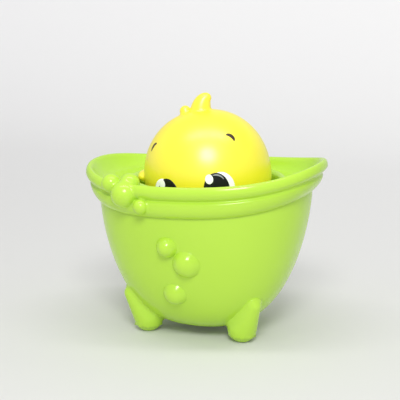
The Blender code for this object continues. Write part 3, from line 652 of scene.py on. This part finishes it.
def make_tub_bowl(material):
    """The bowl with its screw recesses, then its feet and the bubbles on its front wall.

    The bowl and each foot swell into each other, so that a fillet runs round the foot.
    """
    turn = np.linspace(0, 2 * math.pi, ROUND + 1)
    feet = [foot_stations(angle) for angle in FOOT_ANGLES]
    outside = belly_grid(turn, BOWL_RINGS)
    normals = grid_normals(outside)
    normals *= np.sign(np.sum(normals * (outside - [0, 0, RIM_HEIGHT / 2]), -1))[..., None]
    outside = swell(outside, normals, [limb_gap(foot) for foot in feet], FOOT_BLEND)
    edge = outside[-1] + [0, 0, LAP]
    lid = [edge, edge * [0.5, 0.5, 1], edge * [0, 0, 0] + [0, 0, RIM_HEIGHT - BAND_DROP]]
    grids = [np.concatenate([outside, np.stack(lid)])]
    bowl = skin("bathtub_bowl", grids, material, "lime_plastic", ("tub_bowl",))
    recess = SCREW_HEAD_RADIUS + CLEARANCE
    below = -1 * MM
    hole = [(0, below), (recess, below), (recess, SHELF_HEIGHT), (0, SHELF_HEIGHT)]
    cut_away(bowl, [turned_grid(hole, x, y) for x, y in screw_places()])
    for number, (angle, foot) in enumerate(zip(FOOT_ANGLES, feet)):
        side = (-math.sin(angle), math.cos(angle), 0)
        points, normals = limb_grid(foot, side)
        points = swell(points, normals, [belly_gap], FOOT_BLEND)
        points[..., 2] = np.maximum(points[..., 2], 0)
        skin(f"foot_{number + 1}", [points], material, "lime_plastic", ())
    for number, bubble in enumerate(WALL_BUBBLES):
        skin(f"wall_bubble_{number + 1}", [wall_bubble_grid(*bubble)], material, "lime_plastic", ())


# Tub, upper moulding

def seat_height(radius, gap):
    """Height of a cup this far outside the duck's ball."""
    return DUCK_HEIGHT - np.sqrt((DUCK_RADIUS + gap) ** 2 - radius ** 2)


def well_rows(turn, wall, count):
    """The well from its centre over the round seat, a knee and up to its straight part's foot."""
    gap = CLEARANCE + wall
    radii = np.linspace(0, SEAT_RADIUS + wall / 2, count)
    rings = [well_ring(turn, radius, seat_height(radius, gap)) for radius in radii]
    top = DECK_HEIGHT - WELL_STRAIGHT
    shoulder = seat_height(SEAT_RADIUS, gap)
    knee = (SEAT_RADIUS + WELL_RADIUS) / 2 + wall / 2 + WELL_KNEE_OUT * (WELL_RADIUS - SEAT_RADIUS)
    rings.append(well_ring(turn, knee, shoulder + WELL_KNEE_UP * (top - shoulder)))
    rings.append(well_ring(turn, WELL_RADIUS + wall, top))
    return rings


def collar_rings(turn):
    """The half-round bead at the well's mouth, from its inner foot over to its outer one."""
    middle = WELL_RADIUS + COLLAR_WIDTH / 2
    for degrees in COLLAR_DEGREES:
        angle = math.radians(degrees)
        radius = middle + COLLAR_WIDTH / 2 * math.cos(angle)
        cut = COLLAR_FOOT_ROUND if degrees in (0, 180) else SOFT
        yield well_ring(turn, radius, DECK_HEIGHT + COLLAR_HEIGHT * math.sin(angle)), cut


def inner_rings(turn):
    """The inner wall: it leans out evenly and climbs in a hollow curve from the deck to the lip."""
    for s in INNER_SHARES:
        tuck_end = INNER_TUCK_END + s * (LIP_THICKNESS - INNER_TUCK_END)
        tuck_side = INNER_TUCK_SIDE + s * (LIP_THICKNESS - INNER_TUCK_SIDE)
        climb = s ** INNER_CURVE
        height = DECK_HEIGHT + climb * (RIM_HEIGHT - LIP_ROUND - DECK_HEIGHT)
        yield plan_ring(turn, tuck_end, tuck_side, height, climb), SOFT


def lip_rings(turn):
    """The lip: over its top, a quarter of an oval down its roll, then a flank that tucks under."""
    for inward, down in LIP_TOP_SHARES:
        tuck = inward * LIP_THICKNESS
        yield rim_ring(turn, tuck, tuck, down * LIP_ROUND), SOFT
    for degrees in LIP_ROLL_DEGREES:
        angle = math.radians(degrees)
        tuck = LIP_ROLL_DEPTH * LIP_THICKNESS * (1 - math.cos(angle))
        yield rim_ring(turn, tuck, tuck, LIP_ROLL * (1 - math.sin(angle))), SOFT
    for s in LIP_FLANK_SHARES:
        tuck_end = s ** LIP_TUCK_CURVE * LIP_TUCK_END + s ** LIP_CURL_CURVE * LIP_CURL_END
        tuck_side = s ** LIP_TUCK_CURVE * LIP_TUCK_SIDE + s ** LIP_CURL_CURVE * LIP_CURL_SIDE
        yield rim_ring(turn, tuck_end, tuck_side, LIP_ROLL + s * (LIP_DROP - LIP_ROLL)), SOFT


def band_rings(turn):
    """The groove under the lip, then the band: a power curve inwards with a slight bulge."""
    groove_end, groove_side = LIP_TUCK_END + GROOVE_DEPTH_END, LIP_TUCK_SIDE + GROOVE_DEPTH_SIDE
    yield rim_ring(turn, groove_end, groove_side, LIP_DROP + GROOVE_BOTTOM * GROOVE_WIDTH), GROOVE_ROUND
    shoulder = LIP_DROP + GROOVE_WIDTH
    for s in BAND_SHARES:
        bulge = 4 * BAND_BULGE * s * (1 - s)
        tuck_end = LIP_TUCK_END + s ** BAND_CURVE_END * (BAND_TUCK_END - LIP_TUCK_END) - bulge
        tuck_side = LIP_TUCK_SIDE + s ** BAND_CURVE_SIDE * (BAND_TUCK_SIDE - LIP_TUCK_SIDE) - bulge
        cut = {0.0: BAND_SHOULDER_ROUND, 1.0: BAND_FOOT_ROUND}.get(s, SOFT)
        yield rim_ring(turn, tuck_end, tuck_side, shoulder + s * (BAND_DROP - shoulder)), cut


def top_rings(turn):
    """Rings of the upper moulding's seen side, each with the cut that rounds it."""
    rows = [(ring, SOFT) for ring in well_rows(turn, 0.0, WELL_RINGS)]
    for stretch in (collar_rings, inner_rings, lip_rings, band_rings):
        rows += stretch(turn)
    return rows


def hidden_rings(turn):
    """Under the band: its edge, the pocket for the bowl's wall, the deck's and well's underside."""
    outer = BAND_EDGE
    inner = BAND_EDGE + WALL + 2 * CLEARANCE
    end, side = BAND_TUCK_END, BAND_TUCK_SIDE
    rings = [
        rim_ring(turn, end + outer, side + outer, BAND_DROP),
        plan_ring(turn, end + outer, side + outer, POCKET_HEIGHT, POCKET_LIFT),
        plan_ring(turn, end + inner, side + inner, POCKET_HEIGHT, POCKET_LIFT),
        plan_ring(turn, end + inner, side + inner, DECK_HEIGHT - WALL, 0.0),
        well_ring(turn, WELL_RADIUS + WALL, DECK_HEIGHT - WALL),
    ]
    return np.stack(rings + well_rows(turn, WALL, WELL_RINGS)[::-1])


def rim_bubble_centre(x, drop, inset):
    """A place near the front crest: on the outline this far inset, this far below the crest."""
    y = front_of_plan(x, RIM_LENGTH / 2 - inset, RIM_WIDTH / 2 - inset)
    return np.array([x, y, RIM_HEIGHT + rim_lift(x) - drop])


def make_tub_top(material):
    """The upper moulding with its posts, then the bubbles on its rim.

    The moulding swells into the bubbles, and each bubble into its neighbours.
    """
    even = np.linspace(0, 2 * math.pi, ROUND + 1)
    cluster = np.linspace(CLUSTER_FROM, CLUSTER_TO, CLUSTER_ROUND)
    turn = np.unique(np.concatenate([even, cluster]))
    rows = top_rings(turn)
    seen = rounded_rows([ring for ring, cut in rows], [cut for ring, cut in rows])
    bubbles = [(rim_bubble_centre(x, drop, inset), radius) for x, drop, inset, radius in RIM_BUBBLES]
    outwards = -grid_normals(seen)
    seen = swell(seen, outwards, [ball_gap(*bubble) for bubble in bubbles], BUBBLE_BLEND)
    grids = [np.concatenate([seen, hidden_rings(turn)])]
    foot = SHELF_HEIGHT + SHELF_THICKNESS + CLEARANCE
    head = float(seat_height(SCREW_CIRCLE, CLEARANCE + WALL / 2))
    pilot = SCREW_RADIUS + CLEARANCE
    for x, y in screw_places():
        outer = pilot + POST_WALL
        post = [(pilot, head), (pilot, foot), (outer, foot), (outer, head), (pilot, head)]
        grids.append(turned_grid(post, x, y))
    skin("bathtub_top", grids, material, "lime_plastic", ("tub_top",))
    for number, (centre, radius) in enumerate(bubbles):
        points, normals = ball_grid(centre, radius)
        others = [ball_gap(*bubble) for bubble in bubbles if bubble[1] != radius]
        points = swell(points, normals, others, BUBBLE_BLEND)
        skin(f"rim_bubble_{number + 1}", [points], material, "lime_plastic", ())


# Screws

def screw_profile(seat):
    """(radius, height) points from the middle of the head's face to the screw's point: a flat
    face, a quarter of an oval at its edge, the thread as a zigzag, a cone."""
    face = np.linspace(0, SCREW_FACE_SHARE, 24)
    profile = [(share * SCREW_HEAD_RADIUS, seat - SCREW_HEAD_HEIGHT) for share in face]
    for angle in np.linspace(0, math.pi / 2, 12):
        reach = SCREW_FACE_SHARE + (1 - SCREW_FACE_SHARE) * math.sin(angle)
        drop = SCREW_RIM_SHARE + (1 - SCREW_RIM_SHARE) * math.cos(angle)
        profile.append((reach * SCREW_HEAD_RADIUS, seat - drop * SCREW_HEAD_HEIGHT))
    root = THREAD_ROOT * SCREW_RADIUS
    profile += [(SCREW_HEAD_RADIUS, seat), (root, seat)]
    pitch = (SCREW_LENGTH - SCREW_POINT_LENGTH) / THREAD_TURNS
    for k in range(THREAD_TURNS):
        height = seat + (k + 0.5) * pitch
        slope = THREAD_SLOPE * pitch
        profile += [(root, height - slope), (SCREW_RADIUS, height), (root, height + slope)]
    end = seat + SCREW_LENGTH
    return profile + [(SCREW_POINT_RADIUS * SCREW_RADIUS, end - SCREW_TIP), (0, end)]


def cross_recess(grid, face):
    """Sink the head's face where a point lies near one of two crossing lines."""
    near = np.minimum(np.abs(grid[..., 0]), np.abs(grid[..., 1]))
    far = np.maximum(np.abs(grid[..., 0]), np.abs(grid[..., 1]))
    inside = np.clip((CROSS_HALF_WIDTH - near) / CROSS_SIDE, 0, 1)
    inside *= np.clip((CROSS_REACH - far) / CROSS_END, 0, 1)
    grid[..., 2] += np.where(np.abs(grid[..., 2] - face) < 1e-9, inside * CROSS_DEPTH, 0)
    return grid


def make_screws(material):
    """Pan-head screws, turned profiles with a cross recess in the head's face."""
    seat = SHELF_HEIGHT - CLEARANCE
    for number, (x, y) in enumerate(screw_places()):
        grid = cross_recess(turned_grid(screw_profile(seat), columns=97), seat - SCREW_HEAD_HEIGHT)
        skin(f"fine_screw_{number + 1}", [grid + [x, y, 0]], material, "zinc_steel", (f"screw_{number + 1}",))


# Duck

def seated(points):
    """From the duck's own frame into the tub's: turned to its side, leaned, set in the well."""
    cos_face, sin_face = math.cos(DUCK_FACE), math.sin(DUCK_FACE)
    cos_lean, sin_lean = math.cos(-DUCK_LEAN), math.sin(-DUCK_LEAN)
    turned = np.stack([points[..., 0] * cos_face - points[..., 1] * sin_face,
                       points[..., 0] * sin_face + points[..., 1] * cos_face, points[..., 2]], -1)
    leaned = np.stack([turned[..., 0] * cos_lean + turned[..., 2] * sin_lean, turned[..., 1],
                       -turned[..., 0] * sin_lean + turned[..., 2] * cos_lean], -1)
    return leaned + [WELL_SHIFT, 0, DUCK_HEIGHT]


def ball_reach(rise):
    """Distance of the duck's skin from its centre: a ball below, a superellipse to the crown."""
    up = np.maximum(rise, 0)
    flat = (np.cos(up) / DUCK_RADIUS) ** DUCK_POWER
    tall = (np.sin(up) / DUCK_CROWN) ** DUCK_POWER
    return (flat + tall) ** (-1 / DUCK_POWER)


def on_ball(bearing, rise, lift):
    """Points a little off the duck's skin; bearing 0 is the face, positive to its left hand."""
    reach = ball_reach(rise) + lift
    return np.stack([reach * np.cos(rise) * np.sin(bearing), -reach * np.cos(rise) * np.cos(bearing),
                     reach * np.sin(rise)], -1)


def duck_gap(points):
    """Distance from the duck's ball."""
    size = np.linalg.norm(points, axis=-1)
    rise = np.arcsin(np.clip(points[..., 2] / np.maximum(size, 1e-9), -1, 1))
    return size - ball_reach(rise)


def tuft_stations(path):
    """Stations of a tuft in the upright plane across the duck."""
    return [(np.array([x, 0.0, z]), radius) for x, z, radius in path]


def wing_frame(bearing, height, reach):
    """Where a wing's middle is, and the matrix between its own frame and the duck's."""
    out = reach - WING_HALF_SIZES[1]
    cos_b, sin_b = math.cos(bearing), math.sin(bearing)
    turn = np.array([[cos_b, sin_b, 0], [-sin_b, cos_b, 0], [0, 0, 1]])
    return np.array([out * sin_b, -out * cos_b, height]), turn


def wing_grid(wing):
    """A wing's ellipsoid in the duck's frame. Returns points and normals."""
    centre, turn = wing_frame(*wing)
    points, normals = ball_grid((0, 0, 0), WING_HALF_SIZES)
    return centre + points @ turn, normals @ turn


def wing_gap(wing):
    """Distance from a wing's ellipsoid, near its surface."""
    centre, turn = wing_frame(*wing)

    def gap(points):
        local = (points - centre) @ turn.T
        near = np.linalg.norm(local / WING_HALF_SIZES, axis=-1)
        steep = np.linalg.norm(local / WING_HALF_SIZES ** 2, axis=-1)
        return near * (near - 1) / np.maximum(steep, 1e-9)
    return gap


def make_duck(material):
    """Ball, tufts and wings as one piece, each swelling into those that it meets."""
    rows, columns = DUCK_GRID
    rise = np.linspace(math.pi / 2, -math.pi / 2, rows)[:, None]
    bearing = np.linspace(0, 2 * math.pi, columns)[None, :]
    body = on_ball(bearing + 0 * rise, rise + 0 * bearing, 0.0)
    normals = body / np.linalg.norm(body, axis=-1, keepdims=True)
    tufts = [tuft_stations(TUFT_LARGE), tuft_stations(TUFT_SMALL)]
    wings = [WING_RAISED, WING_TUCKED]
    body = swell(body, normals, [limb_gap(tuft) for tuft in tufts], TUFT_BLEND)
    body = swell(body, normals, [wing_gap(wing) for wing in wings], WING_BLEND)
    grids = [seated(body)]
    for number, tuft in enumerate(tufts):
        points, normals = limb_grid(tuft, (0, 1, 0))
        other = limb_gap(tufts[1 - number])
        grids.append(seated(swell(points, normals, [duck_gap, other], TUFT_BLEND)))
    for wing in wings:
        points, normals = wing_grid(wing)
        grids.append(seated(swell(points, normals, [duck_gap], WING_BLEND)))
    skin("duck", grids, material, "yellow_vinyl", ("duck_body",))


def make_beak(material):
    """A flat oval bill. Its mouth line is a shallow sink round its edge, a bell curve of height."""
    centre = (0, -(BEAK_REACH - BEAK_HALF_SIZES[1]), -BEAK_DROP)
    points, normals = ball_grid(centre, BEAK_HALF_SIZES, *BILL_GRID)
    height = (points[..., 2] + BEAK_DROP) / BEAK_HALF_SIZES[2]
    sink = MOUTH_DEPTH * np.exp(-(height / MOUTH_WIDTH) ** 2)
    skin("bill", [seated(points - normals * sink[..., None])], material, "orange_vinyl", ("beak",))


# Print on the duck

def print_layers(name, across, up, bearing, rise, layer, material, slot, node):
    """An ink field from its flat outline grids: a top skin over the duck's, and a root under it.

    across and up are flat grids (rows from the field's middle or one side out, columns round it),
    laid on the ball at this bearing and rise.
    """
    where = bearing + across / (DUCK_RADIUS * math.cos(rise))
    height = rise + up / DUCK_RADIUS
    top = on_ball(where, height, layer * INK_LAYER)
    root = on_ball(where, height, -INK_ROOT)
    grid = np.concatenate([top, root[::-1]])
    skin(name, [seated(grid)], material, slot, (node,))


def oval_field(half_width, half_height, rows=10, columns=97):
    """Flat grids of an oval, rows from its middle out."""
    share = np.linspace(0, 1, rows)[:, None]
    turn = np.linspace(0, 2 * math.pi, columns)[None, :]
    return half_width * share * np.cos(turn), half_height * share * np.sin(turn)


def stroke_field(radius, start, end, half_width, rows=4, columns=49):
    """Flat grids of a curved stroke, pointed at both ends: rows from its middle line out, columns
    along one side and back along the other."""
    along = np.linspace(0, 1, columns)
    there_and_back = np.concatenate([along, along[::-1]])
    side = np.concatenate([np.ones(columns), -np.ones(columns)])
    angle = start + (end - start) * there_and_back
    width = half_width * np.sin(math.pi * there_and_back) ** STROKE_TAPER
    share = np.linspace(0, 1, rows)[:, None]
    reach = radius + share * (side * width)[None, :]
    across, up = reach * np.cos(angle), reach * np.sin(angle)
    return np.concatenate([across, across[:, :1]], 1), np.concatenate([up, up[:, :1]], 1)


def make_eye(side, label, inks):
    """White, pupil, shine and glint in layers; side is 1 for the duck's left and -1 for its right."""
    radius = DUCK_RADIUS * math.cos(EYE_RISE)
    bearing = side * EYE_BEARING
    print_layers(f"white_{label}", *oval_field(*WHITE_SIZE),
                 bearing + side * WHITE_SHIFT / radius, EYE_RISE, 1,
                 inks["white"], "white_ink", f"eye_white_{label}")
    print_layers(f"black_{label}", *oval_field(*PUPIL_SIZE),
                 bearing + PUPIL_SHIFT / radius, EYE_RISE, 2,
                 inks["black"], "black_ink", f"pupil_{label}")
    print_layers(f"spot_{label}", *oval_field(*GLINT_SIZE),
                 bearing + GLINT_PLACE[0] / radius, EYE_RISE + GLINT_PLACE[1] / DUCK_RADIUS, 4,
                 inks["white"], "white_ink", f"glint_{label}")
    print_layers(f"arc_{label}", *stroke_field(SHINE_RADIUS, *SHINE_ARCS[side], SHINE_HALF_WIDTH),
                 bearing + SHINE_PLACE[0] / radius, EYE_RISE + SHINE_PLACE[1] / DUCK_RADIUS, 3,
                 inks["grey"], "grey_ink", f"shine_{label}")


def make_brow(side, label, inks):
    """A short arched stroke; the right one mirrors the left."""
    start, end = BROW_ARC if side > 0 else (math.pi - BROW_ARC[0], math.pi - BROW_ARC[1])
    print_layers(f"eyebrow_{label}", *stroke_field(BROW_RADIUS, start, end, BROW_HALF_WIDTH),
                 side * BROW_BEARING, BROW_RISE, 1, inks["brown"], "brown_ink", f"brow_{label}")


def make_print(inks):
    """The eye and the brow on either side."""
    for side, label in ((1, "left"), (-1, "right")):
        make_eye(side, label, inks)
        make_brow(side, label, inks)


# Studio

def paper_material():
    """Matt white paper: what the camera sees glows a little more towards the back, as a sweep
    with its own lamp does, and the light that it throws on the toy is that of a paler sheet."""
    material = bpy.data.materials.new("matt_paper")
    material.use_nodes = True
    tree = material.node_tree
    shader = tree.nodes["Principled BSDF"]
    shader.inputs["Roughness"].default_value = 0.8
    shader.inputs["Specular IOR Level"].default_value = 0.2
    shader.inputs["Emission Color"].default_value = hex_colour("#FCFBFF")
    seen = add_node(tree, "ShaderNodeLightPath").outputs["Is Camera Ray"]
    paper = add_node(tree, "ShaderNodeMix", {"Factor": seen}, data_type="RGBA")
    paper.inputs["A"].default_value = hex_colour("#DCDCD8")
    paper.inputs["B"].default_value = hex_colour("#D0D0CD")
    tree.links.new(paper.outputs["Result"], shader.inputs["Base Color"])
    place = add_node(tree, "ShaderNodeTexCoord").outputs["Object"]
    back = add_node(tree, "ShaderNodeSeparateXYZ", {"Vector": place}).outputs["Y"]
    glow = add_node(tree, "ShaderNodeMapRange", {
        "Value": back, "From Min": GLOW_START, "From Max": GLOW_END, "To Min": 0.0, "To Max": GLOW_MOST})
    lit = add_node(tree, "ShaderNodeMath", operation="MULTIPLY")
    tree.links.new(glow.outputs["Result"], lit.inputs[0])
    tree.links.new(seen, lit.inputs[1])
    tree.links.new(lit.outputs["Value"], shader.inputs["Emission Strength"])
    return material


def make_studio():
    """A pale sweep: a level floor that curls up behind, a quarter circle, into a wall."""
    bend = np.linspace(0, math.pi / 2, 24)[1:]
    y = np.concatenate([[SWEEP_FRONT, SWEEP_BACK], SWEEP_BACK + SWEEP_CURL * np.sin(bend),
                        [SWEEP_BACK + SWEEP_CURL]])
    z = np.concatenate([[0, 0], SWEEP_CURL - SWEEP_CURL * np.cos(bend), [SWEEP_TOP]])
    x = np.array([-SWEEP_HALF_WIDTH, SWEEP_HALF_WIDTH])
    grid = np.stack([x[None, :] + 0 * y[:, None], y[:, None] + 0 * x, z[:, None] + 0 * x], -1)
    index = np.arange(len(y) * 2).reshape(len(y), 2)
    quads = np.stack([index[:-1, 0], index[:-1, 1], index[1:, 1], index[1:, 0]], -1)
    mesh = bpy.data.meshes.new("sweep")
    mesh.from_pydata(grid.reshape(-1, 3).tolist(), [], quads.tolist())
    mesh.shade_smooth()
    mesh.materials.append(paper_material())
    sweep = bpy.data.objects.new("sweep", mesh)
    bpy.context.scene.collection.objects.link(sweep)


def add_softbox(name, azimuth, elevation, distance, width, height, power):
    """A rectangular light that looks at the duck from this bearing; azimuth 0 is in front (-Y)."""
    a, e = math.radians(azimuth), math.radians(elevation)
    lamp = bpy.data.lights.new(name, "AREA")
    lamp.shape = "RECTANGLE"
    lamp.size, lamp.size_y, lamp.energy = width, height, power
    box = bpy.data.objects.new(name, lamp)
    bpy.context.scene.collection.objects.link(box)
    away = Vector((math.sin(a) * math.cos(e), -math.cos(a) * math.cos(e), math.sin(e)))
    box.location = Vector((0, 0, LAMP_TARGET_HEIGHT)) + away * distance
    box.rotation_mode = "QUATERNION"
    box.rotation_quaternion = away.to_track_quat("Z", "Y")


def make_lights():
    """An even white surround, a softbox above the camera and a long narrow one overhead."""
    world = bpy.data.worlds.new("studio")
    bpy.context.scene.world = world
    world.use_nodes = True
    background = world.node_tree.nodes["Background"]
    background.inputs["Color"].default_value = hex_colour("#FBFBFF")
    background.inputs["Strength"].default_value = 0.68
    add_softbox("key", azimuth=20.5, elevation=39, distance=1.1, width=0.32, height=0.28, power=6.8)
    add_softbox("overhead", azimuth=20.5, elevation=80, distance=1.0, width=1.10, height=0.12, power=3.8)


def make_camera():
    """The photograph's camera, which looks at a point beside the tub's axis."""
    camera = bpy.data.objects.new("camera", bpy.data.cameras.new("camera"))
    bpy.context.scene.collection.objects.link(camera)
    a, e = CAMERA_AZIMUTH, CAMERA_ELEVATION
    back = Vector((math.sin(a) * math.cos(e), -math.cos(a) * math.cos(e), math.sin(e)))
    right = Vector((math.cos(a), math.sin(a), 0))
    target = Vector((0, 0, CAMERA_TARGET_HEIGHT)) + right * CAMERA_SIDESTEP
    camera.location = target + back * CAMERA_DISTANCE
    camera.rotation_mode = "QUATERNION"
    camera.rotation_quaternion = back.to_track_quat("Z", "Y")
    camera.data.sensor_width = SENSOR_MM
    camera.data.lens = SENSOR_MM * CAMERA_FOCAL_PIXELS / PHOTO_PIXELS
    bpy.context.scene.camera = camera


def make_materials():
    """Plastics and steel by name, and the inks by colour."""
    # Polypropylene, moulded in a polished tool: soft, fairly sharp highlights on an even lime
    lime = moulded_material("polypropylene_lime", "#AED73C", "#B5DE45", 0.20, 60 * MM, 1.6 * MM, 0.02 * MM)
    # Soft vinyl, rotation moulded and lacquered: satin, with one broad highlight
    yellow = moulded_material("vinyl_yellow", "#F8E61C", "#FAED2A", 0.37, 50 * MM, 0.9 * MM, 0.02 * MM,
                              Specular_IOR_Level=1.0, Coat_Weight=0.4, Coat_Roughness=0.32)
    # The same soft vinyl in orange, without the lacquer: a duller satin
    orange = moulded_material("vinyl_orange", "#F58A1E", "#F99326", 0.40, 30 * MM, 0.9 * MM, 0.02 * MM)
    # Steel, zinc plated: grey with a slightly uneven sheen
    steel = moulded_material("steel_zinc_plated", "#B9BCC2", "#C8CBD0", 0.32, 3 * MM, 0.4 * MM, 0.01 * MM,
                             Metallic=1.0)
    # Pad print inks: thin even films, a little glossier than the vinyl; the white one has a faint glow
    # painted in, painted light that keeps it clean white beside the yellow and the lime, and the black
    # one is flatter, so it stays deep
    film = (20 * MM, 0.6 * MM, 0.005 * MM)
    inks = {
        # The white ink's emission is painted light: a faint glow that no lamp gives it
        "white": moulded_material("ink_white", "#FAFAF6", "#FFFFFC", 0.34, *film,
                                  Emission_Color=hex_colour("#FFFFFF"), Emission_Strength=0.12),
        "black": moulded_material("ink_black", "#0E0E11", "#141418", 0.40, *film, Specular_IOR_Level=0.3),
        "grey": moulded_material("ink_grey", "#9A9BA2", "#A6A7AE", 0.34, *film),
        "brown": moulded_material("ink_brown", "#2E1A12", "#3A2218", 0.34, *film),
    }
    return lime, yellow, orange, steel, inks


def main():
    lime, yellow, orange, steel, inks = make_materials()
    make_tub_bowl(lime)
    make_tub_top(lime)
    make_screws(steel)
    make_duck(yellow)
    make_beak(orange)
    make_print(inks)
    make_studio()
    make_lights()
    make_camera()
    bpy.context.scene.view_settings.view_transform = "Standard"


main()
